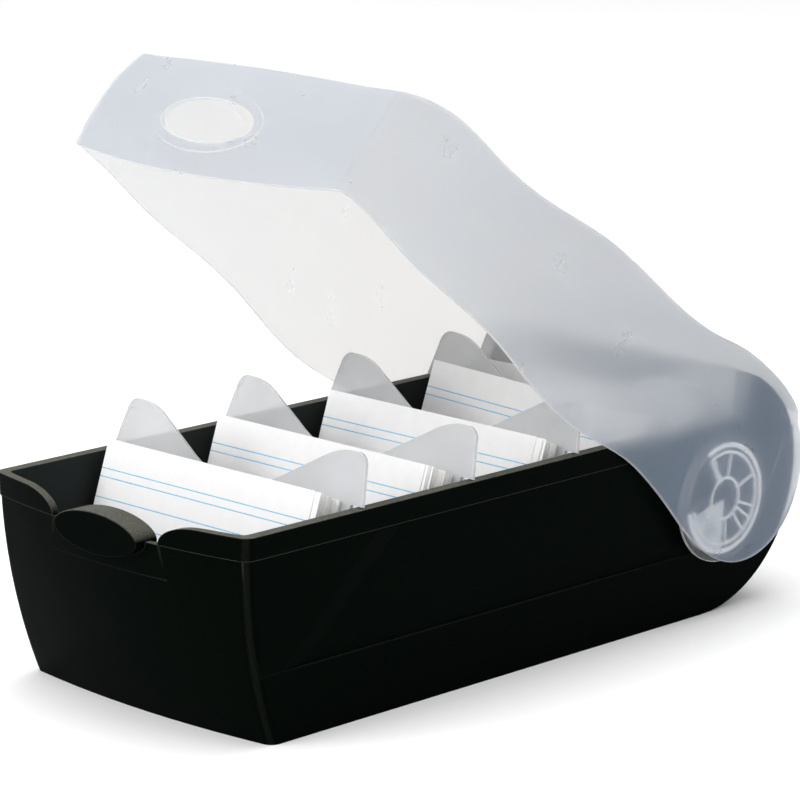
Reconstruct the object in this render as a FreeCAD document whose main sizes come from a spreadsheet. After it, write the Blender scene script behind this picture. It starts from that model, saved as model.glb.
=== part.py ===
import FreeCAD, Part
import Sketcher
import math
import os

# Index card drawer: a black open tray for A7 cards, a frosted wavy lid that turns on two ribbed discs,
# a springy latch knob in the front wall, five two-horned dividers and five leaning packs of cards.
# Lengths are millimetres. In the working frame Y runs back from the front rim corners, Z up from the
# underside and X to the right; every sub-part's Placement then moves it to the centre of the rest face.

doc = FreeCAD.newDocument("index_card_drawer")
sheet = doc.addObject("Spreadsheet::Sheet", "sizes")

SIZES = {
    # tray
    "tray_height": 74.0,
    "card_side_room": 11.85,
    "rim_strip": 4.4,
    "rim_band_height": 8.0,
    "rim_band_proud": 0.4,
    "side_draft_angle": 2.4,
    "inner_draft_angle": 1.0,
    "front_wall": 2.2,
    "shell_wall": 2.2,
    "floor_thickness": 2.6,
    "tray_corner_radius": 4.0,
    "tray_inner_radius": 2.5,
    "rim_bow": 7.5,
    "foot_bow": 4.5,
    "foot_setback": 12.9,
    "straight_front": 5.0,
    "panel_recess": 1.0,
    "ledge_height": 25.0,
    "panel_start": 16.0,
    "panel_ramp": 12.0,
    "panel_sweep": 44.0,
    "rail_offset": 36.0,
    "rail_width": 2.0,
    "rail_height": 6.6,
    "rail_start": 16.0,
    "slot_depth": 3.0,
    "seam_inset": 2.85,
    "seam_width": 0.25,
    "seam_depth": 0.15,
    # hinge end
    "rear_reach": 280.2,
    "hinge_inset": 44.9,
    "hinge_drop": 29.4,
    "hood_radius": 47.0,
    "hood_turn_angle": 40.0,
    "hood_lead": 10.7,
    # latch
    "shoulder_start": 44.0,
    "tongue_top_half_width": 26.3,
    "tongue_root_half_width": 29.0,
    "tongue_length": 12.0,
    "tongue_relief_angle": 13.0,
    "slit_width": 0.5,
    "knob_half_width": 21.0,
    "knob_half_height": 7.3,
    "knob_drop": 8.3,
    "knob_reach": 10.8,
    "knob_depth": 9.8,
    "knob_edge_radius": 0.6,
    # lid, in its closed position
    "lid_wall": 1.3,
    "lid_side_clearance": 1.35,
    "lid_top_lean": 1.8,
    "lid_corner_radius": 3.0,
    "lid_edge_radius": 2.2,
    "lid_open_angle": 33.7,
    "lid_skirt_front": 22.0,
    "lid_front_height": 17.5,
    "lid_lip_reach": 4.4,
    "lid_rim_reach": 2.1,
    "lid_brow_setback": 3.8,
    "lid_bow": 7.6,
    "lid_brow_bow": 4.0,
    "lid_lip_drop": 6.4,
    "lid_crest": 24.4,
    "lid_trough": 20.2,
    "skin_start": 3.1,
    "skin_tail": 22.3,
    "ear_drop": 50.6,
    "ear_tail": 37.4,
    "ear_level": 18.1,
    "ear_top_radius": 39.0,
    "ear_low_radius": 32.5,
    "ear_shoulder": 12.0,
    "ear_rib_width": 0.4,
    "ear_rib_proud": 0.3,
    "ear_rib_top": 10.9,
    "ear_rib_foot": 16.5,
    "ear_rib_inset": 3.1,
    "ear_rib_lean": 2.1,
    "hole_clearance": 1.3,
    "hole_lip_width": 3.6,
    "hole_lip_proud": 0.7,
    # hinge discs and pins
    "disc_radius": 24.0,
    "disc_plate": 1.0,
    "disc_rib_depth": 1.7,
    "ring_radius": 20.9,
    "ring_thickness": 2.0,
    "ring_gap": 1.0,
    "fine_ring_thickness": 1.3,
    "hub_radius": 8.3,
    "spoke_thickness": 1.1,
    "window_start_angle": 151.7,
    "window_angle": 69.0,
    "window_edge_radius": 12.0,
    "window_hub_wall": 1.1,
    "round_hole_radius": 2.8,
    "round_hole_reach": 13.3,
    "pin_radius": 4.0,
    "pin_clearance": 0.08,
    # dividers
    "divider_first": 53.2,
    "divider_tail": 4.9,
    "divider_last_yaw_angle": 2.0,
    "divider_thickness": 1.5,
    "lean_angle": 18.6,
    "horn_side_room": 1.45,
    "horn_height": 18.15,
    "horn_peak_inset": 9.95,
    "horn_slope_angle": 30.0,
    "horn_corner_radius": 5.0,
    "horn_side_angle": 11.0,
    "valley_drop": 2.0,
    "blade_side_room": 6.85,
    "mark_radius": 3.2,
    "mark_depth": 0.15,
    "mark_inset": 8.05,
    "mark_level": 11.8,
    # cards
    "card_width": 105.0,
    "card_height": 74.0,
    "pack_thickness": 10.0,
    "pack_fan": 4.0,
    "pack_side_offset": -2.0,
    "pack_sink": 1.3,
    "pack_roll_angle": 2.0,
    "card_lean_angle": 18.9,
    # fits
    "gap": 0.3,
    "over": 5.0,
}

for row, (alias, value) in enumerate(SIZES.items(), start=1):
    sheet.set("A%d" % row, alias)
    sheet.set("B%d" % row, str(value))
    sheet.setAlias("B%d" % row, alias)
doc.recompute()

# Lid top in side view: shares of the wavy skin's length, and of the rise from trough to crest.
wave_shares = (
    (0.0, -0.57), (0.0182, -0.13), (0.0425, 0.31), (0.0901, 0.88), (0.1255, 1.02), (0.172, 0.83),
    (0.2338, 0.33), (0.3026, 0.07), (0.4038, 0.45), (0.4899, 0.79), (0.5516, 0.64), (0.6832, -0.07),
    (0.7773, 0.12), (0.8371, 0.64), (0.9039, 0.64), (0.9605, 0.14), (1.0, -0.81),
)
# Lid lower edge in side view: shares of the way to the hinge, and of the drop from front to ear.
hem_shares = (
    (0.0, 0.0), (0.061, 0.052), (0.169, 0.203), (0.285, 0.276), (0.394, 0.388), (0.478, 0.549),
    (0.570, 0.664), (0.664, 0.643), (0.736, 0.612), (0.808, 0.689), (0.867, 0.804), (0.925, 0.937),
)
# Levels of the plan sections, as shares of the height that they span.
front_level_shares = (0.0, 0.2, 0.4, 0.6, 0.8, 1.0)
skirt_level_shares = (0.0, 0.5, 1.0)
brow_level_shares = (0.0, 0.3, 0.6, 1.0, 1.6)
# The lid's sides lean in slowly above the rim, by this power of the height.
taper_power = 1.5
# Where the dividers stand, from the first to the last, and the crest's share of a horn's two curves.
divider_shares = (0.0, 0.2824, 0.5647, 0.8471, 1.0)
horn_crest_share = 0.37
# Directions of the disc's spokes and round holes, as shares of a turn.
spoke_turn_shares = (0.313, 0.155, 0.038, -0.004, -0.056, -0.151)
round_hole_turn_shares = (0.644, 0.746)
# Each pack's thickness, then each slab's thickness and sideways fan inside a pack.
pack_thickness_shares = (0.99, 1.05, 0.77, 0.90, 0.84)
slab_shares = (
    (0.04, 0.0), (0.16, 0.1), (0.14, 0.45), (0.18, 0.2), (0.15, 0.65), (0.17, 0.5), (0.16, 1.0),
)
rolled_pack = 4
rolled_slabs = 2
# The lid's top lies wholly above this share of the height of its front.
crest_share = 0.8


class Named:
    """A sheet value, or a sum of them, that knows its number and its expression."""

    def __init__(self, value, text):
        self.value = float(value)
        self.text = text

    def join(self, other, sign, value):
        other_text = other.text if isinstance(other, Named) else repr(other)
        return Named(value, "(%s %s %s)" % (self.text, sign, other_text))

    def __add__(self, other):
        return self.join(other, "+", self.value + float(other))

    def __sub__(self, other):
        return self.join(other, "-", self.value - float(other))

    def __mul__(self, other):
        return self.join(other, "*", self.value * float(other))

    def __truediv__(self, other):
        return self.join(other, "/", self.value / float(other))

    def __neg__(self):
        return Named(-self.value, "(-1 * %s)" % self.text)

    def __float__(self):
        return self.value


class Sizes:
    """The sheet's values as attributes, each a Named."""

    def __getattr__(self, alias):
        return Named(sheet.get(alias), "sizes.%s" % alias)


size = Sizes()


def number(alias):
    return float(sheet.get(alias))


def radians(alias):
    return math.radians(number(alias))


def cosine(angle):
    return Named(math.cos(math.radians(float(angle))), "cos(%s * 1deg)" % angle.text)


def sine(angle):
    return Named(math.sin(math.radians(float(angle))), "sin(%s * 1deg)" % angle.text)


def vector(x, y, z=0.0):
    return FreeCAD.Vector(float(x), float(y), float(z))


def yz(y, z):
    return vector(0.0, y, z)


RIGHT = vector(1.0, 0.0, 0.0)
UP = vector(0.0, 0.0, 1.0)

# Values that several sub-parts share.
rim = number("tray_height")
rim_half = number("card_width") / 2.0 + number("card_side_room")
hinge_y = number("rear_reach") - number("hinge_inset")
hinge_z = rim - number("hinge_drop")
hood_front = hinge_y + number("hood_lead")
gap = number("gap")
over = number("over")
lid_wall = number("lid_wall")
lid_half = rim_half + number("lid_side_clearance") + lid_wall
skin_end = hinge_y + number("skin_tail")
ear_reach = hinge_y + number("ear_tail")
divider_end = hinge_y + number("divider_tail")
main_half = rim_half - number("rim_band_proud")
inner_half = rim_half - number("rim_strip")
hood_half = main_half - number("panel_recess")
band_foot = rim - number("rim_band_height")

# The round rear: the hood's arc about the hinge runs on into a rear arc and then a foot arc.
hood_turn = radians("hood_turn_angle")
rear_arc_radius = (
    (number("rear_reach") - hinge_y - number("hood_radius") * math.cos(hood_turn))
    / (1.0 - math.cos(hood_turn))
)
rear_arc_y = number("rear_reach") - rear_arc_radius
rear_arc_z = hinge_z + (number("hood_radius") - rear_arc_radius) * math.sin(hood_turn)
rest_front = number("foot_setback") - number("foot_bow")
rest_rear = number("rear_reach") - rear_arc_z
HOME = FreeCAD.Placement(yz(-(rest_front + rest_rear) / 2.0, 0.0), FreeCAD.Rotation())
OPENING = FreeCAD.Placement(
    vector(0.0, 0.0), FreeCAD.Rotation(RIGHT, -number("lid_open_angle")), yz(hinge_y, hinge_z)
)


def arc(start, middle, end):
    return Part.Arc(start, middle, end).toShape()


def line(start, end):
    return Part.LineSegment(start, end).toShape()


def spline(points):
    curve = Part.BSplineCurve()
    curve.interpolate(points)
    return curve.toShape()


def chain(points, closed=True):
    """Straight edges through points."""
    count = len(points) if closed else len(points) - 1
    return [line(points[i], points[(i + 1) % len(points)]) for i in range(count)]


def block(x_low, x_high, y_low, y_high, z_low, z_high):
    return Part.makeBox(x_high - x_low, y_high - y_low, z_high - z_low, vector(x_low, y_low, z_low))


def side_prism(edges, half_width):
    """Prism across the box from an outline drawn in the Y-Z plane."""
    face = Part.Face(Part.Wire(edges))
    face.translate(vector(-half_width, 0.0))
    return face.extrude(vector(2.0 * half_width, 0.0))


def oval_prism(half_width, half_height, level, y_low, y_high):
    """Oval bar that lies along Y, centred at a level."""
    oval = Part.Ellipse(vector(0.0, 0.0), half_width, half_height).toShape()
    face = Part.Face(Part.Wire([oval]))
    face.rotate(vector(0.0, 0.0), RIGHT, 90.0)
    face.translate(yz(y_low, level))
    return face.extrude(yz(y_high - y_low, 0.0))


def plan_wire(level, half_width, corner_y, bow, radius, back_y):
    """Closed outline in plan: bowed front, two rounded front corners, straight sides and back."""
    bow_radius = (half_width ** 2 + bow ** 2) / (2.0 * bow)
    centre_y = corner_y - bow + bow_radius
    fillet_x = half_width - radius
    fillet_y = centre_y - math.sqrt((bow_radius - radius) ** 2 - fillet_x ** 2)
    touch = math.atan2(fillet_y - centre_y, fillet_x)
    front_right = vector(bow_radius * math.cos(touch), centre_y + bow_radius * math.sin(touch), level)
    middle = vector(fillet_x + radius * math.cos(touch / 2.0), fillet_y + radius * math.sin(touch / 2.0),
                    level)
    side_right = vector(half_width, fillet_y, level)
    back_right = vector(half_width, back_y, level)

    def mirrored(point):
        return vector(-point.x, point.y, point.z)

    return Part.Wire([
        arc(mirrored(front_right), vector(0.0, corner_y - bow, level), front_right),
        arc(front_right, middle, side_right),
        line(side_right, back_right),
        line(back_right, mirrored(back_right)),
        line(mirrored(back_right), mirrored(side_right)),
        arc(mirrored(side_right), mirrored(middle), mirrored(front_right)),
    ])


# Tray shape: how far the front corner line stands back at a level, and how strongly the front bows.
curve_height = rim - number("straight_front")
front_curve_radius = (
    (curve_height ** 2 + number("foot_setback") ** 2) / (2.0 * number("foot_setback"))
)


def front_setback(level):
    below = max(curve_height - level, 0.0)
    return front_curve_radius - math.sqrt(front_curve_radius ** 2 - below ** 2)


def front_bow(level):
    share = min(level, rim) / rim
    return number("foot_bow") + (number("rim_bow") - number("foot_bow")) * share


def drafted(half_width, level, alias):
    return half_width - max(rim - level, 0.0) * math.tan(radians(alias))


def tray_loft(rim_width, draft, inset, radius, foot_level, top_level):
    """Solid whose front follows the tray's bowed, curved front wall and whose sides are drafted."""
    back_y = number("rear_reach") + over

    def section(level, width):
        return plan_wire(level, width, front_setback(level) + inset, front_bow(level), radius, back_y)

    levels = [foot_level + (curve_height - foot_level) * share for share in front_level_shares]
    wires = [section(level, drafted(rim_width, level, draft)) for level in levels]
    lower = Part.makeLoft(wires, True, False)
    upper = Part.makeLoft([wires[-1], section(rim, rim_width), section(top_level, rim_width)], True, True)
    return lower.fuse(upper)


def hood_point(angle, radius):
    """Point at an angle round the hinge axis."""
    return yz(hinge_y + radius * math.cos(angle), hinge_z + radius * math.sin(angle))


def rear_edges(inset, floor_level, top_angle):
    """Floor, foot arc, rear arc and hood arc in side view, each set in by the wall."""
    hood = number("hood_radius") - inset
    rear = rear_arc_radius - inset
    foot = rear_arc_z - inset
    foot_turn = math.acos((rear_arc_z - floor_level) / foot)
    foot_middle = (math.pi / 2.0 + foot_turn) / 2.0
    start = yz(rest_rear + foot * math.sin(foot_turn), floor_level)
    rearmost = yz(number("rear_reach") - inset, rear_arc_z)
    turn_middle = hood_turn / 2.0
    rear_middle = yz(rear_arc_y + rear * math.cos(turn_middle), rear_arc_z + rear * math.sin(turn_middle))
    return [
        arc(start, yz(rest_rear + foot * math.sin(foot_middle), rear_arc_z - foot * math.cos(foot_middle)),
            rearmost),
        arc(rearmost, rear_middle, hood_point(hood_turn, hood)),
        arc(hood_point(hood_turn, hood), hood_point((hood_turn + top_angle) / 2.0, hood),
            hood_point(top_angle, hood)),
    ], start


def hood_front_angle():
    """Angle round the hinge where the leaning front of the hood meets its round top."""
    radius = number("hood_radius")
    lean = radians("lean_angle")
    foot = hood_point(0.0, 0.0) - yz(hood_front, rim)
    along = foot.y * math.sin(lean) + foot.z * math.cos(lean)
    across = foot.y * math.cos(lean) - foot.z * math.sin(lean)
    reach = along + math.sqrt(radius ** 2 - across ** 2)
    top = yz(hood_front + reach * math.sin(lean), rim + reach * math.cos(lean))
    return math.atan2(top.z - hinge_z, top.y - hinge_y), top


def tray_outer():
    """Drafted box with a bowed front, a round rear and the hood above the rim."""
    front_y = -number("rim_bow") - over
    angle, hood_top = hood_front_angle()
    arcs, floor_end = rear_edges(0.0, 0.0, angle)
    hood_foot = yz(hood_front, rim)
    profile = arcs + chain([hood_top, hood_foot, yz(front_y, rim), yz(front_y, 0.0), floor_end], False)
    body = tray_loft(main_half, "side_draft_angle", 0.0, number("tray_corner_radius"), 0.0, rim + over)
    walls = side_prism(profile, main_half + over)
    above = block(-hood_half, hood_half, 0.0, number("rear_reach"), rim, rim + number("hood_radius"))
    below = block(-main_half - over, main_half + over, front_y, number("rear_reach") + over, -over, rim)
    return walls.common(body).common(below), walls.common(above)


def rim_band():
    """The proud band round the rim, from the front to the hood."""
    proud = number("rim_band_proud")
    body = tray_loft(rim_half, "side_draft_angle", -proud,
                     number("tray_corner_radius") + proud, 0.0, rim + over)
    keep = block(-main_half - over, main_half + over, -number("rim_bow") - over, hood_front,
                 band_foot, rim)
    return body.common(keep)


def recess_plane(level, depth):
    return drafted(main_half, level, "side_draft_angle") - depth


def side_recess():
    """Cutter for the sunk side panel: it starts with a long soft ramp behind the front corner."""
    depth = number("panel_recess")
    ledge = number("ledge_height")
    start = number("panel_start")
    sweep = number("panel_sweep")
    back = number("rear_reach") + over
    wires = []
    for step in (-1.0, 1.0):
        ramp = -step * number("panel_ramp")
        corners = (
            (start + ramp, ledge), (start + sweep + ramp, band_foot), (back, band_foot), (back, ledge),
        )
        wires.append(Part.Wire(chain([
            vector(recess_plane(z, -step * depth), y, z) for y, z in corners
        ])))
    panel = Part.makeLoft(wires, True, True)
    high = block(recess_plane(rim, depth), main_half + over, hood_front, back, ledge, rim + over)
    plane_drop = recess_plane(rim, depth) - recess_plane(ledge, depth)
    high.rotate(vector(recess_plane(rim, depth), 0.0, rim), vector(0.0, 1.0),
                math.degrees(math.atan2(plane_drop, rim - ledge)))
    high = high.common(block(0.0, main_half + over, 0.0, back, band_foot - over, rim))
    return panel, high


def corner_seams():
    """Cutters for the fine seam that frames each front corner below the rim band."""
    depth = number("seam_depth")
    half = number("seam_width") / 2.0
    ledge = number("ledge_height")
    seam = rim_half - number("seam_inset")
    front_y = -number("rim_bow") - over
    core = tray_loft(main_half - depth, "side_draft_angle", depth, number("tray_corner_radius") - depth,
                     0.0, rim + over)
    upright = block(seam - half, seam + half, front_y, number("panel_start"), ledge - half, band_foot)
    level = block(seam - half, main_half + over, front_y, number("panel_start"), ledge - half, ledge + half)
    return upright.fuse(level).cut(core)


def cavity():
    """Inside of the tray, up under the hood and out through the open top."""
    front_y = -number("rim_bow") - over
    hood = number("hood_radius") - number("shell_wall")
    arcs, floor_end = rear_edges(number("shell_wall"), number("floor_thickness"), math.pi / 2.0)
    hood_top = hood_point(math.pi / 2.0, hood)
    profile = arcs + chain([hood_top, yz(front_y, hood_top.z), yz(front_y, number("floor_thickness")),
                            floor_end], False)
    body = tray_loft(inner_half, "inner_draft_angle", number("front_wall"), number("tray_inner_radius"),
                     0.0, rim + number("hood_radius"))
    return side_prism(profile, main_half).common(body)


def front_cutout():
    """Dip of the rim between two rounded shoulders, with the slits beside the latch tongue below it."""
    dip = number("tongue_top_half_width") + number("slit_width")
    start = number("shoulder_start")
    drop = number("rim_band_height")
    ellipse = Part.Ellipse(vector(start, band_foot), start - dip, drop)
    right = Part.ArcOfEllipse(ellipse, math.pi / 2.0, math.pi).toShape()
    left = right.mirror(vector(0.0, 0.0), RIGHT)
    root = number("tongue_root_half_width") + number("slit_width")
    edges = [right, left] + chain([
        vector(dip, band_foot), vector(root, band_foot - number("tongue_length")),
        vector(-root, band_foot - number("tongue_length")), vector(-dip, band_foot),
    ], False) + chain([
        vector(start, rim), vector(start, rim + over), vector(-start, rim + over), vector(-start, rim),
    ], False)
    return front_prism(edges)


def tongue_outline():
    top = number("tongue_top_half_width")
    root = number("tongue_root_half_width")
    foot = band_foot - number("tongue_length")
    return chain([vector(top, band_foot), vector(root, foot), vector(-root, foot), vector(-top, band_foot)])


def front_prism(edges):
    """Prism along Y through the front wall, from an outline given as X and height."""
    face = Part.Face(Part.Wire(Part.__sortEdges__(edges)))
    face.rotate(vector(0.0, 0.0), RIGHT, 90.0)
    face.translate(yz(-number("rim_bow") - over, 0.0))
    return face.extrude(yz(number("rim_bow") + 2.0 * over, 0.0))


def is_last(index):
    return index == len(pack_thickness_shares) - 1


def skew(index):
    """Turn of the last divider and its pack about the upright line through the divider's middle."""
    first = number("divider_first")
    y = first + (divider_end - first) * divider_shares[index]
    turn = FreeCAD.Rotation(UP, number("divider_last_yaw_angle") if is_last(index) else 0.0)
    return FreeCAD.Placement(vector(0.0, 0.0), turn, yz(y, rim)), y


def divider_place(index):
    """Where a divider's own frame stands: origin on the rim plane, leaning back."""
    turn, y = skew(index)
    return turn * FreeCAD.Placement(yz(y, rim), FreeCAD.Rotation(RIGHT, -number("lean_angle")))


blade_foot = (rim - number("rail_height") + number("slot_depth") - gap) / math.cos(radians("lean_angle"))


def rails():
    """Two floor rails with a leaning slot for each divider."""
    half = number("rail_width") / 2.0
    clear = number("divider_thickness") / 2.0 + gap
    floor = number("floor_thickness")
    bars = []
    for side in (-1.0, 1.0):
        centre = side * number("rail_offset")
        bar = block(centre - half, centre + half, number("rail_start"), rest_rear, floor / 2.0,
                    number("rail_height"))
        for index in range(len(pack_thickness_shares)):
            slot = block(centre - half - over, centre + half + over, -clear, clear,
                         -blade_foot - gap, -blade_foot + number("slot_depth") + over)
            slot.Placement = divider_place(index)
            bar = bar.cut(slot)
        bars.append(bar)
    return bars


def tray_shape():
    body, hood = tray_outer()
    solid = body.fuse([rim_band(), hood])
    for cutter in side_recess() + (corner_seams(),):
        solid = solid.cut([cutter, cutter.mirror(vector(0.0, 0.0), RIGHT)])
    front = solid.cut(cavity())
    bore = number("pin_radius") + number("pin_clearance")
    axle = Part.makeCylinder(bore, 2.0 * (main_half + over), vector(-main_half - over, hinge_y, hinge_z),
                             RIGHT)
    shell = front.cut([front_cutout(), axle]).fuse(rails())
    return shell.removeSplitter(), front


def latch_shape(front):
    """Trapezoid tongue of the front wall, joined at its root, with the oval knob on its tip."""
    knob = oval_prism(number("knob_half_width"), number("knob_half_height"), rim - number("knob_drop"),
                      -number("knob_reach"), number("knob_depth") - number("knob_reach"))
    rims = [edge for edge in knob.Edges if len(edge.Vertexes) == 1]
    knob = knob.makeFillet(number("knob_edge_radius"), rims)
    tongue = front_prism(tongue_outline()).common(front)
    root = band_foot - number("tongue_length")
    face_y = front_setback(root) - front_bow(root)
    relief = block(-main_half, main_half, 0.0, number("rim_bow") + over, -over, 0.0)
    relief.Placement = FreeCAD.Placement(
        yz(face_y, root), FreeCAD.Rotation(RIGHT, number("tongue_relief_angle"))
    )
    return tongue.cut(relief).fuse(knob).removeSplitter()


# Lid shape, in the closed position: the front line is one arc through three places.
lip_point = yz(-number("lid_lip_reach"), rim - number("lid_skirt_front"))
rim_point = yz(-number("lid_rim_reach"), rim)
brow_point = yz(number("lid_brow_setback"), rim + number("lid_front_height"))
front_line = Part.Arc(lip_point, rim_point, brow_point).toShape().Curve
trough = rim + number("lid_trough")
wave_rise = number("lid_crest") - number("lid_trough")


def lid_section(level, inset, radius):
    """Plan outline of the lid at a level."""
    spread = max((level - rim) / number("lid_front_height"), 0.0) ** taper_power
    half_width = lid_half - spread * number("lid_top_lean")
    bow = number("lid_bow") - spread * (number("lid_bow") - number("lid_brow_bow"))
    centre = front_line.Center
    corner_y = centre.y - math.sqrt(front_line.Radius ** 2 - (level - centre.z) ** 2)
    return plan_wire(level, half_width - inset, corner_y + inset, bow, radius, ear_reach + over)


def lid_loft(inset, radius):
    foot = rim - number("ear_drop") - over / 2.0
    skirt = [foot + (rim - foot) * share for share in skirt_level_shares]
    brow = [rim + number("lid_front_height") * share for share in brow_level_shares]
    lofts = [Part.makeLoft([lid_section(level, inset, radius) for level in levels], True, False)
             for levels in (skirt, brow)]
    return lofts[0].fuse(lofts[1])


def wave_points(inset):
    start = number("skin_start")
    return [yz(start + (skin_end - start) * along, trough + wave_rise * rise - inset)
            for along, rise in wave_shares]


def ear_edges():
    """Rear outline of the ears, from the end of the skin down to the lowest point."""
    top = wave_points(0.0)[-1]
    level = rim - number("ear_level")
    high_y = ear_reach - number("ear_top_radius")
    low_y = ear_reach - number("ear_low_radius")
    shoulder_z = rim + number("ear_shoulder")
    rise = math.asin((shoulder_z - level) / number("ear_top_radius"))
    shoulder = yz(high_y + number("ear_top_radius") * math.cos(rise), shoulder_z)
    rearmost = yz(ear_reach, level)
    lowest = yz(low_y, level - number("ear_low_radius"))
    diagonal = math.sqrt(0.5) * number("ear_low_radius")
    return [
        line(top, shoulder),
        arc(shoulder, yz(high_y + number("ear_top_radius") * math.cos(rise / 2.0),
                         level + number("ear_top_radius") * math.sin(rise / 2.0)), rearmost),
        arc(rearmost, yz(low_y + diagonal, level - diagonal), lowest),
    ], lowest


def hem_points(lowest):
    front = rim - number("lid_skirt_front")
    return [yz(lowest.y * along, front + (lowest.z - front) * drop) for along, drop in hem_shares] + [lowest]


def lid_outer():
    """Closed block with the lid's outside: wavy top, ears at the rear, hem at the foot."""
    front_y = -number("lid_bow") - number("lid_lip_reach") - over
    wave = wave_points(0.0)
    ears, lowest = ear_edges()
    hem = hem_points(lowest)
    deep = yz(hem[0].y, hem[0].z - number("lid_lip_drop") - over / 4.0)
    top_front = yz(front_y, wave[0].z)
    edges = [spline(wave)] + ears + [spline(list(reversed(hem)))]
    edges += chain([hem[0], deep, yz(front_y, deep.z), top_front, wave[0]], False)
    prism = side_prism(edges, lid_half + over)
    return lid_loft(0.0, number("lid_corner_radius")).common(prism)


def lid_inner():
    """Inside of the lid, one wall smaller and open at the foot."""
    front_y = -number("lid_bow") - number("lid_lip_reach") - over
    wave = wave_points(lid_wall)
    low = rim - number("ear_drop") - over
    back = skin_end + over
    edges = [spline(wave)] + chain([wave[-1], yz(back, wave[-1].z - over), yz(back, low), yz(front_y, low),
                                    yz(front_y, wave[0].z), wave[0]], False)
    prism = side_prism(edges, lid_half + over)
    return lid_loft(lid_wall, number("lid_corner_radius") - lid_wall).common(prism)


def crest_edges(solid):
    """Edges round the wavy top, apart from the one at the rear end of the skin."""
    lowest = rim + number("lid_front_height") * crest_share
    crest = [face for face in solid.Faces if face.BoundBox.ZMin > lowest]
    rear = skin_end - over
    return [edge for face in crest for edge in face.Edges if edge.BoundBox.YMin < rear]


def knob_oval(grow, y_low, y_high):
    return oval_prism(number("knob_half_width") + grow, number("knob_half_height") + grow,
                      rim - number("knob_drop"), y_low, y_high)


def lip_cutter(front_y):
    """Everything below the front lip, whose lower edge sinks towards the middle."""
    half_width = lid_half
    level = rim - number("lid_skirt_front")
    deep = level - number("lid_lip_drop") - over
    right = vector(half_width, level)
    left = vector(-half_width, level)
    low = arc(right, vector(0.0, level - number("lid_lip_drop")), left)
    face = Part.Face(Part.Wire([low] + chain([
        left, vector(-half_width - over, level), vector(-half_width - over, deep),
        vector(half_width + over, deep), vector(half_width + over, level), right,
    ], False)))
    face.rotate(vector(0.0, 0.0), RIGHT, 90.0)
    face.translate(yz(front_y, 0.0))
    return face.extrude(yz(-front_y, 0.0))


def ear_rib():
    """Fine upright rib inside the right ear, just ahead of the end of the skin."""
    top = yz(skin_end - number("ear_rib_inset"), rim + number("ear_rib_top"))
    foot = yz(top.y + number("ear_rib_lean"), rim - number("ear_rib_foot"))
    aside = yz(number("ear_rib_width") / 2.0, 0.0)
    face = Part.Face(Part.Wire(chain([top - aside, top + aside, foot + aside, foot - aside])))
    face.translate(vector(lid_half - lid_wall - number("ear_rib_proud"), 0.0))
    return face.extrude(vector(number("ear_rib_proud") + lid_wall / 2.0, 0.0))


def lid_shape():
    outer = lid_outer()
    outer = outer.makeFillet(number("lid_edge_radius"), crest_edges(outer))
    inner = lid_inner()
    inner = inner.makeFillet(number("lid_edge_radius") - lid_wall, crest_edges(inner))
    front_y = -number("lid_bow") - number("lid_lip_reach") - over
    clear = number("hole_clearance")
    lip = knob_oval(clear + number("hole_lip_width"), front_y, 0.0)
    lip = lip.common(lid_loft(-number("hole_lip_proud"), number("lid_corner_radius")))
    half_width = lid_half - lid_wall
    rear = block(-half_width, half_width, skin_end, ear_reach + over,
                 rim - number("ear_drop") - over, rim + number("lid_crest") + over)
    shell = outer.fuse(lip).cut([inner, rear, lip_cutter(front_y), knob_oval(clear, front_y, 0.0)])
    rib = ear_rib()
    return shell.fuse([rib, rib.mirror(vector(0.0, 0.0), RIGHT)]).removeSplitter()


def add_feature(name, shape, placement):
    feature = doc.addObject("Part::Feature", name)
    feature.Label = name
    feature.Shape = shape
    feature.Placement = placement
    return feature


def new_body(name):
    body = doc.addObject("PartDesign::Body", name)
    body.Label = name
    return body


def origin_part(body, role):
    return next(item for item in body.Origin.OriginFeatures if item.Role == role)


def new_sketch(body, role, offset=None):
    sketch = body.newObject("Sketcher::SketchObject", body.Name + "_sketch")
    sketch.AttachmentSupport = (origin_part(body, role), [""])
    sketch.MapMode = "FlatFace"
    if offset is not None:
        sketch.AttachmentOffset = FreeCAD.Placement(vector(0.0, 0.0, offset), FreeCAD.Rotation())
        sketch.setExpression("AttachmentOffset.Base.z", offset.text)
    return sketch


def constrain(sketch, *values):
    """Adds one constraint; a Named as its last value is bound to the sheet."""
    *rest, last = values
    if isinstance(last, Named):
        index = sketch.addConstraint(Sketcher.Constraint(*rest, float(last)))
        sketch.setExpression("Constraints[%d]" % index, last.text)
    else:
        sketch.addConstraint(Sketcher.Constraint(*values))


def pin(sketch, geometry, point, x, y):
    """Holds a point at (x, y); a plain zero puts it on the axis."""
    if isinstance(x, Named):
        constrain(sketch, "DistanceX", -1, 1, geometry, point, x)
    else:
        constrain(sketch, "PointOnObject", geometry, point, -2)
    if isinstance(y, Named):
        constrain(sketch, "DistanceY", -1, 1, geometry, point, y)
    else:
        constrain(sketch, "PointOnObject", geometry, point, -1)


def add_circle(sketch, radius, x=0.0, y=0.0):
    circle = sketch.addGeometry(Part.Circle(vector(x, y), UP, float(radius)), False)
    pin(sketch, circle, 3, x, y)
    constrain(sketch, "Radius", circle, radius)


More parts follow.
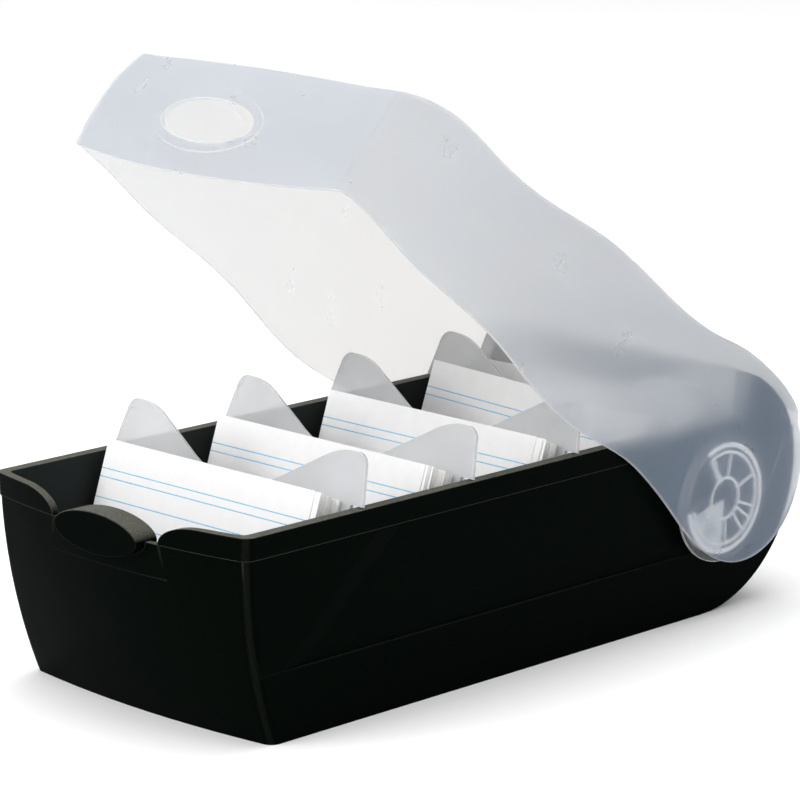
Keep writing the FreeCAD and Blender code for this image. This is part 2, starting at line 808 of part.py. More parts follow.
def add_outline(sketch, points, arcs):
    """Closed outline, anticlockwise; arcs maps an edge's number to its radius and +1 out or -1 in."""
    ends = []
    for index, start in enumerate(points):
        first = vector(*start)
        second = vector(*points[(index + 1) % len(points)])
        if index not in arcs:
            ends.append((sketch.addGeometry(Part.LineSegment(first, second), False), 1, 2))
            continue
        radius, bulge = arcs[index]
        if bulge < 0:
            first, second = second, first
        chord = second - first
        height = math.sqrt(float(radius) ** 2 - chord.Length ** 2 / 4.0)
        centre = (first + second) * 0.5 + UP.cross(chord).normalize() * height
        begin = math.atan2(first.y - centre.y, first.x - centre.x)
        finish = math.atan2(second.y - centre.y, second.x - centre.x)
        circle = Part.Circle(centre, UP, float(radius))
        piece = Part.ArcOfCircle(circle, begin, finish if finish > begin else finish + 2.0 * math.pi)
        geometry = sketch.addGeometry(piece, False)
        constrain(sketch, "Radius", geometry, radius)
        ends.append((geometry, 1, 2) if bulge > 0 else (geometry, 2, 1))
    for index, point in enumerate(points):
        geometry, begin, _ = ends[index]
        before, _, finish = ends[index - 1]
        constrain(sketch, "Coincident", before, finish, geometry, begin)
        pin(sketch, geometry, begin, *point)


def add_pad(body, sketch, length, reverse=False, middle=False):
    pad = body.newObject("PartDesign::Pad", body.Name + "_pad")
    pad.Profile = sketch
    pad.Length = float(length)
    pad.setExpression("Length", length.text)
    pad.Reversed = reverse
    pad.Midplane = middle
    body.Tip = pad
    doc.recompute()
    return pad


def on_circle(radius, angle):
    return radius * cosine(angle), radius * sine(angle)


def part_turn(share):
    return Named(360.0 * share, "(360 * %r)" % share)


def hinge_disc(name, side):
    """Disc fixed inside one ear of the lid: plate, raised rings, spokes, hub, openings and the pin."""
    body = new_body(name)
    inward = side > 0
    plate_face = size.disc_plate * side * -1.0

    def layer(circles, start, length):
        sketch = new_sketch(body, "YZ_Plane", start)
        for radius in circles:
            add_circle(sketch, radius)
        return add_pad(body, sketch, length, inward)

    def opening(sketch):
        pocket = body.newObject("PartDesign::Pocket", sketch.Name + "_cut")
        pocket.Profile = sketch
        pocket.Length = number("disc_plate") + number("disc_rib_depth")
        pocket.setExpression("Length", (size.disc_plate + size.disc_rib_depth).text)
        pocket.Reversed = not inward
        body.Tip = pocket
        doc.recompute()

    ring_bore = size.ring_radius - size.ring_thickness
    fine_ring = ring_bore - size.ring_gap
    fine_bore = fine_ring - size.fine_ring_thickness
    hub_bore = size.hub_radius - size.fine_ring_thickness
    layer([size.disc_radius], None, size.disc_plate)
    layer([size.ring_radius, ring_bore], plate_face, size.disc_rib_depth)
    layer([fine_ring, fine_bore], plate_face, size.disc_rib_depth)
    layer([size.hub_radius, hub_bore], plate_face, size.disc_rib_depth)
    layer([size.pin_radius], plate_face, size.lid_side_clearance - size.disc_plate + size.rim_strip)

    sketch = new_sketch(body, "YZ_Plane", plate_face)
    half = size.spoke_thickness / 2.0
    inside = (hub_bore + size.hub_radius) / 2.0
    outside = (fine_bore + fine_ring) / 2.0
    for share in spoke_turn_shares:
        along = cosine(part_turn(share))
        aside = sine(part_turn(share))
        add_outline(sketch, [
            (reach * along - width * aside, reach * aside + width * along)
            for reach, width in ((inside, -half), (outside, -half), (outside, half), (inside, half))
        ], {})
    add_pad(body, sketch, size.disc_rib_depth, inward)

    sketch = new_sketch(body, "YZ_Plane")
    hub_side = size.pin_radius + size.window_hub_wall
    first = size.window_start_angle
    last = size.window_start_angle + size.window_angle
    edge = (size.window_edge_radius, -1)
    add_outline(sketch, [on_circle(hub_side, first), on_circle(ring_bore, first),
                         on_circle(ring_bore, last), on_circle(hub_side, last)],
                {0: edge, 1: (ring_bore, 1), 2: edge, 3: (hub_side, -1)})
    opening(sketch)

    sketch = new_sketch(body, "YZ_Plane")
    for share in round_hole_turn_shares:
        add_circle(sketch, size.round_hole_radius, *on_circle(size.round_hole_reach, part_turn(share)))
    opening(sketch)

    place = vector(side * (lid_half - lid_wall), hinge_y, hinge_z)
    body.Placement = HOME * OPENING * FreeCAD.Placement(place, FreeCAD.Rotation())
    return body


def divider(index):
    """Leaning plate with two horns above the rim, lugs that hang on it and a foot in the rail slots."""
    body = new_body("divider_%d" % (index + 1))
    slope = size.horn_slope_angle
    lean = cosine(size.lean_angle)
    lug = size.gap / lean
    foot = -(size.tray_height - size.rail_height + size.slot_depth - size.gap) / lean
    rim_side = size.card_width / 2.0 + size.card_side_room
    horn_reach = rim_side - size.horn_side_room
    peak = rim_side - size.horn_peak_inset
    # The crest and the valley both run on smoothly into one straight slope between them.
    both = ((peak * sine(slope) - (size.horn_height + size.valley_drop) * cosine(slope))
            / (-cosine(slope) + 1.0))
    crest_radius = both * horn_crest_share
    valley_radius = both * (1.0 - horn_crest_share)
    centre_z = size.horn_height - size.horn_corner_radius
    centre_x = (horn_reach - (centre_z - lug) * sine(size.horn_side_angle)
                / cosine(size.horn_side_angle) - size.horn_corner_radius / cosine(size.horn_side_angle))
    touch_x, touch_z = on_circle(size.horn_corner_radius, size.horn_side_angle)
    right = [
        (rim_side - size.blade_side_room, foot),
        (rim_side - size.blade_side_room, lug),
        (horn_reach, lug),
        (centre_x + touch_x, centre_z + touch_z),
        (centre_x, size.horn_height),
        (peak, size.horn_height),
        (peak - crest_radius * sine(slope),
         size.horn_height - crest_radius + crest_radius * cosine(slope)),
        (valley_radius * sine(slope), valley_radius - size.valley_drop - valley_radius * cosine(slope)),
    ]
    left = [(-x, z) for x, z in reversed(right)]
    sketch = new_sketch(body, "XZ_Plane")
    last = len(right) - 1
    corner = (size.horn_corner_radius, 1)
    crest = (crest_radius, 1)
    add_outline(sketch, right + left, {
        3: corner, 5: crest, last: (valley_radius, -1), 2 * last + 1 - 6: crest,
        2 * last + 1 - 4: corner,
    })
    add_pad(body, sketch, size.divider_thickness, middle=True)

    sketch = new_sketch(body, "XZ_Plane", size.divider_thickness / 2.0)
    add_circle(sketch, size.mark_radius, -(rim_side - size.mark_inset), size.mark_level)
    mark = body.newObject("PartDesign::Pocket", body.Name + "_mark")
    mark.Profile = sketch
    mark.Length = number("mark_depth")
    mark.setExpression("Length", "sizes.mark_depth")
    body.Tip = mark
    doc.recompute()
    body.Placement = HOME * divider_place(index)
    return body


def card_pack(index):
    """Leaning pack of cards in slabs, each pushed a little sideways, the rear ones sunk a little."""
    name = "card_stack_%d" % (index + 1)
    lean = radians("card_lean_angle")
    thickness = size.pack_thickness * pack_thickness_shares[index]
    turn, plate_y = skew(index)
    height = rim - number("rail_height") - gap
    face_y = (plate_y - height * math.tan(radians("lean_angle"))
              - number("divider_thickness") / 2.0 / math.cos(radians("lean_angle")) - gap)
    depth = float(thickness) / math.cos(lean)
    foot_y = face_y - depth + number("card_height") * (
        math.tan(radians("lean_angle")) * math.cos(lean) - math.sin(lean))
    slabs = []
    passed = 0.0
    for row, (share, shift) in enumerate(slab_shares):
        slab = doc.addObject("Part::Box", "%s_slab" % name)
        for side, length in (("Length", size.card_width), ("Width", thickness * share),
                             ("Height", size.card_height)):
            setattr(slab, side, float(length))
            slab.setExpression(side, length.text)
        left = number("pack_side_offset") - number("card_width") / 2.0 + number("pack_fan") * shift
        sink = number("pack_sink") * (1.0 - passed)
        base = yz(foot_y + depth * passed - number("pack_sink") * passed * math.sin(lean),
                  number("rail_height") + gap + sink)
        slab.Placement = HOME * turn * FreeCAD.Placement(base, FreeCAD.Rotation(RIGHT, -math.degrees(lean)))
        corner = FreeCAD.Placement(vector(left, 0.0), FreeCAD.Rotation())
        if index + 1 == rolled_pack and row < rolled_slabs:
            roll = FreeCAD.Rotation(vector(0.0, 1.0), number("pack_roll_angle"))
            corner = FreeCAD.Placement(vector(left, 0.0), roll, vector(number("card_width"), 0.0))
        slab.Placement = slab.Placement * corner
        slabs.append(slab)
        passed += share
    pack = doc.addObject("Part::Compound", name)
    pack.Label = name
    pack.Links = slabs
    return pack


tray, closed_front = tray_shape()
parts = [
    add_feature("tray", tray, HOME),
    add_feature("latch_tongue", latch_shape(closed_front), HOME),
    add_feature("lid", lid_shape(), HOME * OPENING),
    hinge_disc("hinge_disc_left", -1.0),
    hinge_disc("hinge_disc_right", 1.0),
]
pack_numbers = range(len(pack_thickness_shares))
parts += [divider(index) for index in pack_numbers]
parts += [card_pack(index) for index in pack_numbers]
doc.recompute()

for item in doc.Objects:
    if "Invalid" in item.State or "Error" in item.State:
        raise RuntimeError("%s did not build" % item.Label)
for item in parts:
    if item.Shape.isNull() or not item.Shape.isValid():
        raise RuntimeError("%s has no sound shape" % item.Label)

os.makedirs("parts", exist_ok=True)
for item in parts:
    box = item.Shape.BoundBox
    print("%-18s solids %d volume %9.1f  X %7.1f %7.1f  Y %7.1f %7.1f  Z %7.1f %7.1f" % (
        item.Label, len(item.Shape.Solids), item.Shape.Volume, box.XMin, box.XMax, box.YMin, box.YMax,
        box.ZMin, box.ZMax))
    item.Shape.exportStep("parts/%s.step" % item.Label)
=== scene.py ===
import math
import random

import bmesh
import bpy
from mathutils import Matrix, Vector


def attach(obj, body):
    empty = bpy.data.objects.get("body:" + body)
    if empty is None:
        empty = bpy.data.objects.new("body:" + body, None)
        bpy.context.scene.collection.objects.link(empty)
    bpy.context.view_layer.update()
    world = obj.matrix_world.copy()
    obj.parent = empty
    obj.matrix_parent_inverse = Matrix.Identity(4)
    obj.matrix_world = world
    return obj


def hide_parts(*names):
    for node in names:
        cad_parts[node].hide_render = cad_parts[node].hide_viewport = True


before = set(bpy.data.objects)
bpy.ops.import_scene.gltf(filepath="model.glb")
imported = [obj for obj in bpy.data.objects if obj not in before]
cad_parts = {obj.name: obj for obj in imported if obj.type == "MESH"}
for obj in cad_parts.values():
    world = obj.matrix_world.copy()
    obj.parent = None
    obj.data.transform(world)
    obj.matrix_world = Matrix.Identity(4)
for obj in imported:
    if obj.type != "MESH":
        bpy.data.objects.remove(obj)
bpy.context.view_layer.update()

# Index card drawer. Lengths are metres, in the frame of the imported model: +Y to the rear, +X right.

MM = 0.001

# Camera, at the photograph's viewing angle
CAMERA_AZIMUTH = math.radians(45.05)
CAMERA_ELEVATION = math.radians(13.21)
CAMERA_ROLL = math.radians(-0.03)
CAMERA_PLACE = Vector((0.9327, -0.9168, 0.3968))
CAMERA_LENS_MM = 170.1
CAMERA_SENSOR_MM = 36.0
CAMERA_CLIP_END = 50.0

# Cards
CARD_WIDTH = 105.0 * MM
CARD_HEIGHT = 74.0 * MM
CARD_LEAN = math.radians(18.9)
LAST_SKEW = math.radians(2.0)
PACKS = 5
CARDS_PER_PACK = 26
CARD_FILL = 0.94
PACK_SINK = 1.3 * MM

# Ruled lines on a card, in millimetres below its top edge
HEAD_LINE = 10.4
FIRST_LINE = 13.4
LINE_PITCH = 7.3
HALF_LINE = 0.19
BELOW_HEAD = 12.0

# In the fourth pack the front cards have slipped.
SLIPPED_PACK = 4
SLIPPED_CARDS = 6
SLIPPED_ROLL = math.radians(2.0)

# Lid hinge, and how far the lid stands open at rest
HINGE_Y = 116.185 * MM
HINGE_Z = 44.6 * MM
LID_OPEN = math.radians(33.7)

# Hinge disc: radii of the middle of each ring and half of its thickness, and the ends of what is between
OUTER_RING = (19.9 * MM, 1.0 * MM)
FINE_RING = (17.25 * MM, 0.65 * MM)
HUB_RING = (7.65 * MM, 0.65 * MM)
SPOKE_HALF = 0.55 * MM
SPOKE_START = (7.0 * MM, 7.6 * MM)
SPOKE_END = (17.0 * MM, 17.8 * MM)
SPOKE_ANGLES = (112.68, 55.8, 13.68, -1.44, -20.16, -54.36)
ARM_HALF = 1.4 * MM
ARM_START = (6.0 * MM, 7.0 * MM)
ARM_ANGLE = 148.0
WINDOW_ANGLES = (151.7, 220.7)
WINDOW_SOFT = 0.2 * MM
LOBE_ANGLES = (224.0, 298.0)
LOBE_SOFT = (0.6 * MM, 0.2 * MM)
LOBE_END = (20.0 * MM, 20.8 * MM)
DISC_SHRINK = 0.03 * MM

# Nearly all values of a noise texture lie between these two.
NOISE_LOW = 0.3
NOISE_HIGH = 0.7

PLASTIC_IOR = 1.45

# Stage and lights: place, width, height and energy of each soft box, all turned to one point
FLOOR_HALF = 12.0
WORLD_LIGHT = 0.79
LIGHT_TARGET = Vector((0.0, 0.0, 0.08))
SOFT_BOXES = {
    "top_light": (Vector((-0.1, 0.3, 1.8)), 1.6, 1.6, 20.0),
    "front_light": (Vector((-0.5, -1.7, 1.3)), 1.2, 1.2, 24.0),
    "side_light": (Vector((1.7, -0.4, 0.4)), 0.35, 1.1, 3.0),
}


def grey(value):
    return (value, value, value)


def camera():
    sin_a = math.sin(CAMERA_AZIMUTH)
    cos_a = math.cos(CAMERA_AZIMUTH)
    back = Vector((sin_a * math.cos(CAMERA_ELEVATION), -cos_a * math.cos(CAMERA_ELEVATION),
                   math.sin(CAMERA_ELEVATION)))
    right = Vector((cos_a, sin_a, 0.0))
    up = back.cross(right)
    data = bpy.data.cameras.new("camera")
    data.lens = CAMERA_LENS_MM
    data.sensor_width = CAMERA_SENSOR_MM
    data.clip_end = CAMERA_CLIP_END
    item = bpy.data.objects.new("camera", data)
    turn = Matrix((right, up, back)).transposed() @ Matrix.Rotation(CAMERA_ROLL, 3, "Z")
    item.matrix_world = Matrix.Translation(CAMERA_PLACE) @ turn.to_4x4()
    bpy.context.scene.collection.objects.link(item)
    bpy.context.scene.camera = item


class Nodes:
    """Short hand for building one material's node tree."""

    def __init__(self, name):
        self.material = bpy.data.materials.new(name)
        self.material.use_nodes = True
        self.tree = self.material.node_tree
        self.shader = next(node for node in self.tree.nodes if node.type == "BSDF_PRINCIPLED")
        self.output = next(node for node in self.tree.nodes if node.type == "OUTPUT_MATERIAL")

    def add(self, kind, **values):
        node = self.tree.nodes.new(kind)
        for key, value in values.items():
            setattr(node, key, value)
        return node

    def link(self, source, target):
        self.tree.links.new(source, target)

    def feed(self, shader=None, **sources):
        """Links outputs to inputs of the main shader, or of another one."""
        for key, source in sources.items():
            self.link(source, (shader or self.shader).inputs[key.replace("_", " ")])

    def set(self, **values):
        for key, value in values.items():
            self.shader.inputs[key.replace("_", " ")].default_value = value

    def coordinates(self, kind="Object"):
        return self.add("ShaderNodeTexCoord").outputs[kind]

    def split(self, vector):
        node = self.add("ShaderNodeSeparateXYZ")
        self.link(vector, node.inputs["Vector"])
        return node.outputs

    def noise(self, scale, detail, roughness, vector=None):
        node = self.add("ShaderNodeTexNoise")
        node.inputs["Scale"].default_value = scale
        node.inputs["Detail"].default_value = detail
        node.inputs["Roughness"].default_value = roughness
        self.link(vector if vector is not None else self.coordinates(), node.inputs["Vector"])
        return node.outputs["Fac"]

    def stretched(self, factors):
        node = self.add("ShaderNodeMapping")
        node.inputs["Scale"].default_value = factors
        self.link(self.coordinates(), node.inputs["Vector"])
        return node.outputs["Vector"]

    def shades(self, source, first, second, start=NOISE_LOW, end=NOISE_HIGH):
        """Colour that goes from the first to the second as the source rises from start to end."""
        node = self.add("ShaderNodeValToRGB")
        for element, place, colour in zip(node.color_ramp.elements, (start, end), (first, second)):
            element.position = place
            element.color = (*colour, 1.0)
        self.link(source, node.inputs["Fac"])
        return node.outputs["Color"]

    def range(self, source, low, high, from_low=0.0, from_high=1.0):
        node = self.add("ShaderNodeMapRange")
        node.inputs["From Min"].default_value = from_low
        node.inputs["From Max"].default_value = from_high
        node.inputs["To Min"].default_value = low
        node.inputs["To Max"].default_value = high
        self.link(source, node.inputs["Value"])
        return node.outputs["Result"]

    def spread(self, noise, low, high):
        """A noise texture's values spread over low to high."""
        return self.range(noise, low, high, NOISE_LOW, NOISE_HIGH)

    def rise(self, source, start, end):
        """0 below start, 1 above end."""
        return self.range(source, 0.0, 1.0, start, end)

    def fall(self, source, start, end):
        """1 below start, 0 above end."""
        return self.range(source, 1.0, 0.0, start, end)

    def math(self, operation, first, second=None):
        node = self.add("ShaderNodeMath", operation=operation)
        for index, value in enumerate((first, second)):
            if value is None:
                continue
            if isinstance(value, (int, float)):
                node.inputs[index].default_value = value
            else:
                self.link(value, node.inputs[index])
        return node.outputs["Value"]

    def times(self, first, second):
        return self.math("MULTIPLY", first, second)

    def most(self, first, second):
        return self.math("MAXIMUM", first, second)

    def mix(self, factor, first, second):
        node = self.add("ShaderNodeMix", data_type="RGBA")
        self.link(factor, node.inputs["Factor"])
        for name, value in (("A", first), ("B", second)):
            socket = next(item for item in node.inputs if item.name == name and item.type == "RGBA")
            if isinstance(value, tuple):
                socket.default_value = (*value, 1.0)
            else:
                self.link(value, socket)
        return next(item for item in node.outputs if item.type == "RGBA")

    def blend(self, factor, first, second):
        """Mixes two shaders."""
        node = self.add("ShaderNodeMixShader")
        if isinstance(factor, float):
            node.inputs["Fac"].default_value = factor
        else:
            self.link(factor, node.inputs["Fac"])
        self.link(first, node.inputs[1])
        self.link(second, node.inputs[2])
        return node.outputs["Shader"]

    def bump(self, height, strength, distance, below=None):
        node = self.add("ShaderNodeBump")
        node.inputs["Strength"].default_value = strength
        node.inputs["Distance"].default_value = distance
        self.link(height, node.inputs["Height"])
        if below is not None:
            self.link(below, node.inputs["Normal"])
        return node.outputs["Normal"]

    def edges(self, radius, low, high):
        """Share from 0 on open faces to 1 along edges and corners."""
        bevel = self.add("ShaderNodeBevel", samples=6)
        bevel.inputs["Radius"].default_value = radius
        plain = self.add("ShaderNodeNewGeometry").outputs["Normal"]
        dot = self.add("ShaderNodeVectorMath", operation="DOT_PRODUCT")
        self.link(bevel.outputs["Normal"], dot.inputs[0])
        self.link(plain, dot.inputs[1])
        return self.fall(dot.outputs["Value"], low, high)


def black_plastic():
    """Black moulded tray: glossy walls, greyer inside by a painted sheen, a painted sheen with spark
    grain on what faces up, painted highlights on the front corners and edges.
    """
    n = Nodes("tray_black")
    n.set(Specular_IOR_Level=0.008, IOR=PLASTIC_IOR)
    place = n.split(n.coordinates())
    facing = n.split(n.coordinates("Normal"))
    flow = n.noise(1.0, 3.0, 0.55, n.stretched((9.0, 2.5, 16.0)))
    walls = n.shades(flow, (0.0004, 0.0014, 0.0008), (0.0010, 0.0022, 0.0014), end=0.75)
    spark = n.noise(1900.0, 2.0, 0.7)
    # A light grey with spark grain: the colour of the painted sheen and painted highlights below.
    painted_sheen = n.shades(spark, (0.044, 0.045, 0.038), (0.125, 0.125, 0.105))
    # Painted sheen on the side walls' faces towards the middle.
    inner_sheen = n.shades(flow, (0.018, 0.022, 0.021), (0.032, 0.037, 0.036), end=0.75)

    # A side wall's face towards the middle looks against its own X; such faces get a painted sheen, light
    # reflected from the cards and dividers.
    inward = n.fall(n.times(place["X"], facing["X"]), -0.045, -0.02)
    colour = n.mix(inward, walls, inner_sheen)
    # The front corners look forward and to a side at once; there a painted highlight runs down in the
    # sheen colour.
    corner = n.times(n.math("ABSOLUTE", facing["X"]), facing["Y"])
    colour = n.mix(n.range(corner, 0.04, 0.0, -0.47, -0.34), colour, painted_sheen)
    # Faces that look up get the painted sheen, most of all on the rim and the knob, hardly on the faces
    # below them.
    height = n.range(place["Z"], 0.12, 1.0, 58.0 * MM, 68.0 * MM)
    colour = n.mix(n.times(n.rise(facing["Z"], 0.25, 0.9), height), colour, painted_sheen)
    # Edges get a painted highlight, strongest on the rim and the knob.
    edge_highlight = n.times(n.edges(0.5 * MM, 0.90, 0.995), n.times(height, 0.5))
    colour = n.mix(edge_highlight, colour, painted_sheen)

    smudge = n.noise(38.0, 4.0, 0.6)
    grain = n.bump(n.noise(2600.0, 2.0, 0.6), 0.16, 0.06 * MM)
    waves = n.bump(n.noise(26.0, 2.0, 0.5), 0.10, 0.6 * MM, grain)
    n.feed(Base_Color=colour, Roughness=n.spread(smudge, 0.28, 0.42), Normal=waves)
    return n.material


def frosted(name, clear, milk, milk_share, glow_share, rough, scale, wave, pattern=None):
    """Frosted polypropylene: rough clear plastic that glows a little, mixed with a milky scatter.

    It is cloudier in places, and whitest along edges, where a painted glow lies, and where the pattern
    says so.
    """
    n = Nodes(name)
    n.set(IOR=1.16, Transmission_Weight=1.0, Specular_IOR_Level=0.5)
    cloud = n.noise(14.0 * scale, 3.0, 0.5)
    haze = n.noise(60.0 * scale, 3.0, 0.6)
    darker_clear = tuple(value * 0.985 for value in clear)
    darker_milk = tuple(value * 0.96 for value in milk)
    white = (0.95, 0.93, 0.91)
    grain = n.bump(n.noise(1500.0, 2.0, 0.5), 0.02, 0.05 * MM)
    normal = n.bump(n.noise(9.0, 2.0, 0.4), wave, 1.2 * MM, grain)
    n.feed(Base_Color=n.shades(cloud, darker_clear, clear, start=0.35),
           Roughness=n.spread(haze, rough - 0.03, rough + 0.03), Normal=normal)

    # Edges are painted whiter and milkier: a painted glow, as of light carried along the plastic to its
    # edges.
    lit = n.edges(0.7 * MM, 0.62, 0.90)
    if pattern is not None:
        lit = n.most(lit, pattern(n))
    body = n.add("ShaderNodeBsdfPrincipled")
    body.inputs["IOR"].default_value = PLASTIC_IOR
    body.inputs["Specular IOR Level"].default_value = 0.3
    tint = n.shades(cloud, darker_milk, milk, start=0.35)
    n.feed(body, Base_Color=n.mix(lit, tint, white), Roughness=n.spread(haze, 0.42, 0.52),
           Normal=normal)
    share = n.most(n.spread(cloud, milk_share * 0.92, milk_share * 1.08), n.times(lit, 0.8))

    glow = n.add("ShaderNodeBsdfTranslucent")
    glow.inputs["Color"].default_value = (1.0, 0.97, 0.93, 1.0)
    soft = n.blend(glow_share, n.shader.outputs["BSDF"], glow.outputs["BSDF"])
    n.link(n.blend(share, soft, body.outputs["BSDF"]), n.output.inputs["Surface"])
    return n.material


def disc_ribs(n):
    """Milky look of the disc's rings, hub, spokes and solid lobe, as seen through its plate."""
    place = n.split(n.coordinates())
    along = n.math("SUBTRACT", place["Y"], HINGE_Y)
    up = n.math("SUBTRACT", place["Z"], HINGE_Z)
    reach = n.math("SQRT", n.math("ADD", n.times(along, along), n.times(up, up)))

    def band(value, middle, half, soft=0.3 * MM):
        away = n.math("ABSOLUTE", n.math("SUBTRACT", value, middle))
        return n.fall(away, half - soft, half + soft)

    def ahead(angle):
        """Distance from the hinge axis along a line at the disc's angle."""
        turn = math.radians(angle) - LID_OPEN
        return n.math("ADD", n.times(along, math.cos(turn)), n.times(up, math.sin(turn)))

    def beside(angle):
        """Distance to the left of that line."""
        turn = math.radians(angle) - LID_OPEN
        return n.math("SUBTRACT", n.times(up, math.cos(turn)), n.times(along, math.sin(turn)))

    def wedge(angles, soft_in, soft_out):
        """1 between two angles, 0 outside them."""
        start, end = angles
        return n.times(n.rise(beside(start), -soft_out, soft_in), n.fall(beside(end), -soft_in, soft_out))

    # The two outer rings fade at the window, and the hub's ring goes all round.
    rings = n.most(band(reach, *OUTER_RING), band(reach, *FINE_RING))
    window = wedge(WINDOW_ANGLES, WINDOW_SOFT, WINDOW_SOFT)
    lit = n.times(rings, n.range(window, 1.0, 0.25))
    lit = n.most(lit, band(reach, *HUB_RING))
    inside = n.fall(reach, *SPOKE_END)
    for angle in SPOKE_ANGLES:
        bar = n.times(band(beside(angle), 0.0, SPOKE_HALF), n.rise(ahead(angle), *SPOKE_START))
        lit = n.most(lit, n.times(bar, inside))
    # A broad arm runs along the window's upper side.
    arm = n.times(band(beside(ARM_ANGLE), 0.0, ARM_HALF), n.rise(ahead(ARM_ANGLE), *ARM_START))
    lit = n.most(lit, n.times(n.times(arm, inside), 0.8))
    # The lobe with the two round holes is solid.
    lobe = n.times(wedge(LOBE_ANGLES, *LOBE_SOFT), n.fall(reach, *LOBE_END))
    return n.times(n.most(lit, n.times(lobe, 0.8)), 0.85)


def ear_ribs(n):
    """The disc's ribs stand right against the lid's ears, so they show there too."""
    return n.times(disc_ribs(n), 0.62)


def card_paper():
    """White card with light blue ruled lines, read from the distance to the top edge in the UV map."""
    n = Nodes("card_paper")
    n.set(Specular_IOR_Level=0.25)
    down = n.split(n.coordinates("UV"))["Y"]
    # Ruled lines repeat from the second head line down, and the first head line stands above them.
    cycle = n.math("PINGPONG", n.math("SUBTRACT", down, FIRST_LINE), LINE_PITCH / 2.0)
    ruled = n.times(n.math("LESS_THAN", cycle, HALF_LINE), n.math("GREATER_THAN", down, BELOW_HEAD))
    from_head = n.math("ABSOLUTE", n.math("SUBTRACT", down, HEAD_LINE))
    line = n.most(ruled, n.math("LESS_THAN", from_head, HALF_LINE))
    fibre = n.noise(240.0, 4.0, 0.65)
    paper = n.shades(fibre, grey(0.90), grey(0.94))
    ink = n.shades(n.noise(900.0, 2.0, 0.5), (0.16, 0.50, 0.76), (0.26, 0.62, 0.86))
    n.feed(Base_Color=n.mix(line, paper, ink), Roughness=n.range(fibre, 0.55, 0.7),
           Normal=n.bump(n.noise(1400.0, 3.0, 0.6), 0.12, 0.05 * MM))
    return n.material


def card_edge():
    """Cut edges of the cards: a little creamier, with a faint streak along each cut."""
    n = Nodes("card_edge")
    n.set(Specular_IOR_Level=0.2, Roughness=0.7)
    streak = n.noise(700.0, 3.0, 0.6, n.stretched((0.06, 1.0, 1.0)))
    n.feed(Base_Color=n.shades(streak, (0.88, 0.87, 0.83), (0.96, 0.96, 0.93)),
           Normal=n.bump(streak, 0.25, 0.1 * MM))
    return n.material


def floor_paper():
    n = Nodes("floor_paper")
    n.set(Specular_IOR_Level=0.0, Roughness=1.0)
    n.feed(Base_Color=n.shades(n.noise(3.0, 2.0, 0.5), grey(0.93), grey(0.95)))
    return n.material


def dress(node, material, shrink=None):
    """A CAD node keeps its mesh and place, and gets a material; a shrink clears a touching neighbour."""
    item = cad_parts[node]
    item.data.materials.clear()
    item.data.materials.append(material)
    if shrink is not None:
        change = item.modifiers.new("clearance", "DISPLACE")
        change.strength = -shrink
        change.mid_level = 0.0


def card_mesh(mesh, place, thickness):
    """One card: a thin slab with face, back and four cut edges; UV gives millimetres across and down."""
    corners = []
    for depth in (0.0, thickness):
        for x, z in ((0.0, 0.0), (CARD_WIDTH, 0.0), (CARD_WIDTH, CARD_HEIGHT), (0.0, CARD_HEIGHT)):
            corners.append(mesh.verts.new(place @ Vector((x, depth, z))))
    layer = mesh.loops.layers.uv.verify()
    printed, cut = 0, 1
    for material, order in ((printed, (0, 1, 2, 3)), (printed, (5, 4, 7, 6)), (cut, (0, 4, 5, 1)),
                            (cut, (1, 5, 6, 2)), (cut, (2, 6, 7, 3)), (cut, (3, 7, 4, 0))):
        face = mesh.faces.new([corners[index] for index in order])
        face.material_index = material
        for loop in face.loops:
            local = place.inverted() @ loop.vert.co
            loop[layer].uv = (local.x / MM, (CARD_HEIGHT - local.z) / MM)


def card_pack(number):
    """Separate cards in the space of the CAD pack, each shifted and turned a little by chance."""
    node = "card_stack_%d" % number
    chance = random.Random(100 + number)
    skew = LAST_SKEW if number == PACKS else 0.0
    turn = Matrix.Rotation(skew, 4, "Z") @ Matrix.Rotation(-CARD_LEAN, 4, "X")
    inverse = turn.inverted()
    points = [inverse @ vertex.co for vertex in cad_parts[node].data.vertices]
    near = min(point.y for point in points)
    far = max(point.y for point in points)
    left = min(point.x for point in points)
    room = max(point.x for point in points) - CARD_WIDTH - left
    foot = min(point.z for point in points)
    pitch = (far - near) / CARDS_PER_PACK
    pivot = Vector((CARD_WIDTH, 0.0, 0.0))
    mesh = bmesh.new()
    drift = 0.35
    for index in range(CARDS_PER_PACK):
        # The cards wander sideways, but the front one stands at the left end.
        drift = min(max(drift + chance.uniform(-0.22, 0.25), 0.0), 1.0)
        x = left + room * drift if index else left
        sink = PACK_SINK * (1.0 - index / (CARDS_PER_PACK - 1))
        roll = math.radians(chance.uniform(-0.15, 0.15))
        if number == SLIPPED_PACK and index < SLIPPED_CARDS:
            roll = SLIPPED_ROLL
        corner = Vector((x, near + pitch * index, foot + sink + chance.uniform(0.0, 0.3) * MM))
        place = turn @ Matrix.Translation(corner) @ Matrix.Translation(pivot)
        place = place @ Matrix.Rotation(roll, 4, "Y") @ Matrix.Translation(-pivot)
        card_mesh(mesh, place, pitch * CARD_FILL)
    data = bpy.data.meshes.new("cards_%d" % number)
    bmesh.ops.recalc_face_normals(mesh, faces=mesh.faces)
    mesh.to_mesh(data)
    mesh.free()
    data.materials.append(PAPER)
    data.materials.append(EDGE)
    item = bpy.data.objects.new("cards_%d" % number, data)
    bpy.context.scene.collection.objects.link(item)
    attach(item, node)
    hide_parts(node)


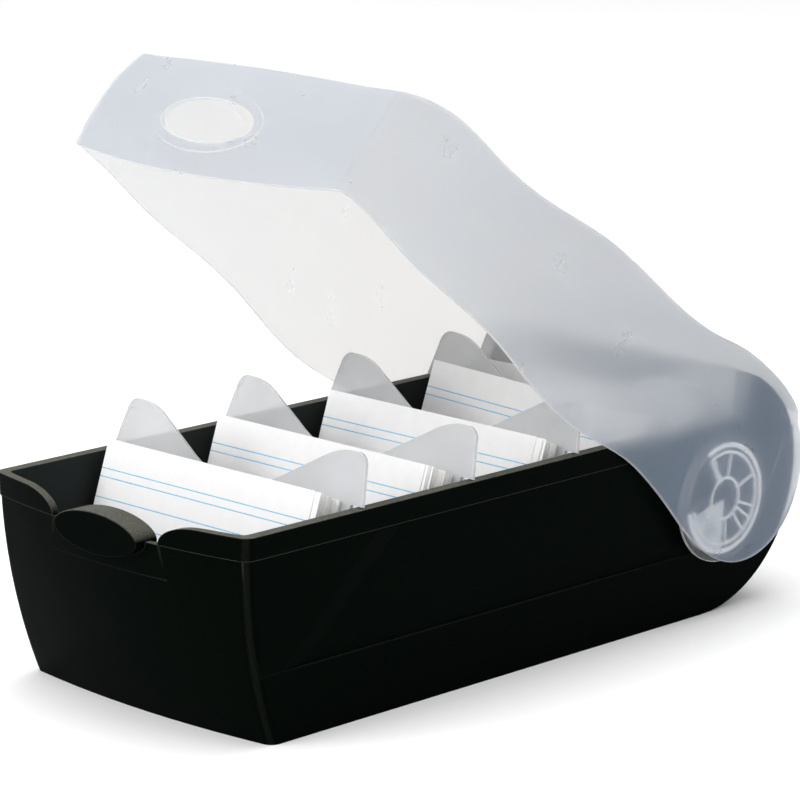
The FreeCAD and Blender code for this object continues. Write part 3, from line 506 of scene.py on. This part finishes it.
def lay_floor():
    half = FLOOR_HALF
    mesh = bpy.data.meshes.new("floor")
    mesh.from_pydata([(-half, -half, 0.0), (half, -half, 0.0), (half, half, 0.0), (-half, half, 0.0)], [],
                     [(0, 1, 2, 3)])
    mesh.materials.append(floor_paper())
    floor = bpy.data.objects.new("floor", mesh)
    bpy.context.scene.collection.objects.link(floor)


def light_studio():
    bpy.context.scene.view_settings.view_transform = "Standard"
    world = bpy.data.worlds.new("studio")
    world.use_nodes = True
    background = world.node_tree.nodes["Background"]
    background.inputs["Color"].default_value = (1.0, 1.0, 1.0, 1.0)
    background.inputs["Strength"].default_value = WORLD_LIGHT
    bpy.context.scene.world = world
    for name, (place, width, height, energy) in SOFT_BOXES.items():
        data = bpy.data.lights.new(name, "AREA")
        data.shape = "RECTANGLE"
        data.size = width
        data.size_y = height
        data.energy = energy
        item = bpy.data.objects.new(name, data)
        item.location = place
        item.rotation_euler = (LIGHT_TARGET - place).to_track_quat("-Z", "Y").to_euler()
        bpy.context.scene.collection.objects.link(item)


camera()

BLACK = black_plastic()
LID = frosted("lid_frosted", clear=(0.84, 0.825, 0.80), milk=(0.44, 0.58, 0.79), milk_share=0.14,
              glow_share=0.33, rough=0.30, scale=1.0, wave=0.12, pattern=ear_ribs)
DISC = frosted("disc_clear", clear=grey(0.94), milk=(0.80, 0.84, 0.90), milk_share=0.05,
               glow_share=0.0, rough=0.20, scale=3.0, wave=0.0, pattern=disc_ribs)
DIVIDER = frosted("divider_clear", clear=(0.42, 0.425, 0.43), milk=(0.86, 0.87, 0.895), milk_share=0.42,
                  glow_share=0.05, rough=0.20, scale=2.0, wave=0.02)
PAPER = card_paper()
EDGE = card_edge()

dress("tray", BLACK)
dress("latch_tongue", BLACK)
dress("lid", LID)
dress("hinge_disc_left", DISC, DISC_SHRINK)
dress("hinge_disc_right", DISC, DISC_SHRINK)
for number in range(1, PACKS + 1):
    dress("divider_%d" % number, DIVIDER)
for number in range(1, PACKS + 1):
    card_pack(number)
lay_floor()
light_studio()
